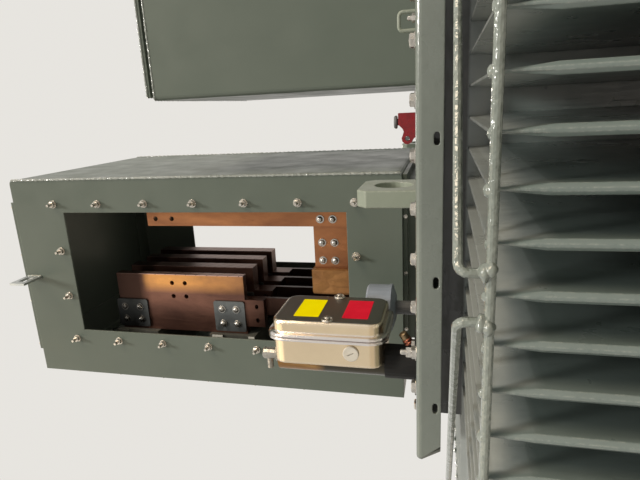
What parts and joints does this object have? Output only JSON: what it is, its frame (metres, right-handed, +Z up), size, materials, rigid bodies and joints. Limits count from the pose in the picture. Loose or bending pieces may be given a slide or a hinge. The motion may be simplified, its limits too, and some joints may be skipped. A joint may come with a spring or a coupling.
{
  "type": "power transformer",
  "caption": "Liquid-filled power transformer with corrugated cooling fins, a busbar cable box with open windows, a closed cable box and a protection relay on its cover.",
  "frame": {"origin": "at the ground, at the middle of the footprint", "axes": "+Z up, +Y along the tank from the end with the relay to the other end, +X towards the closed high-voltage box"},
  "size_m": [1.3196, 2.0796, 2.5218],
  "materials": {
    "tank_paint": "satin grey-green",
    "base_paint": "dull grey-green",
    "galvanized_steel": "zinc coated",
    "stainless_steel": "drawn and polished",
    "busbar_copper": "bare copper, lightly tarnished",
    "cast_resin": "red-brown cast resin",
    "support_laminate": "pale glass-fibre laminate",
    "wrapping_paper": "brown wrapping paper",
    "black_casting": "matt black",
    "cap_plastic": "grey-blue",
    "valve_paint": "dark red",
    "amber_plastic": "clear amber, oil-stained"
  },
  "bodies": {
    "root": {"left_skid": "base_paint", "right_skid": "base_paint", "tank_floor": "base_paint", "front_fin_wall": "tank_paint", "rear_fin_wall": "tank_paint", "left_fin_wall": "tank_paint", "right_fin_wall": "tank_paint", "front_upper_bar": "tank_paint", "rear_upper_bar": "tank_paint", "left_upper_bar": "tank_paint", "right_upper_bar": "tank_paint", "front_lower_bar": "tank_paint", "rear_lower_bar": "tank_paint", "left_lower_bar": "tank_paint", "right_lower_bar": "tank_paint", "front_left_stay": "tank_paint", "front_right_stay": "tank_paint", "rear_left_stay": "tank_paint", "rear_right_stay": "tank_paint", "tank_rim": "tank_paint", "cover": "tank_paint", "lv_turret": "tank_paint", "lv_bushing_plate": "cast_resin", "lv_box_shell": "tank_paint", "lv_box_top_plate": "tank_paint", "lv_box_side_plate": "tank_paint", "lv_box_front_lug": "galvanized_steel", "lv_lower_support": "support_laminate", "lv_upper_support": "support_laminate", "lv_busbar_1": "busbar_copper", "lv_busbar_2": "busbar_copper", "lv_busbar_3": "busbar_copper", "lv_busbar_4": "busbar_copper", "lv_neutral_strip": "busbar_copper", "lv_neutral_link": "busbar_copper", "lv_wrapped_end": "wrapping_paper", "hv_box_shell": "tank_paint", "hv_box_lid": "tank_paint", "front_lifting_lug": "tank_paint", "rear_lifting_lug": "tank_paint", "relay_body": "stainless_steel", "relay_lid": "stainless_steel", "relay_neck": "black_casting", "relay_chamber": "amber_plastic", "relay_tap": "galvanized_steel", "filler_post": "black_casting", "filler_cap": "cap_plastic", "filling_valve": "valve_paint", "cover_staple": "tank_paint"}
  },
  "joints": []
}
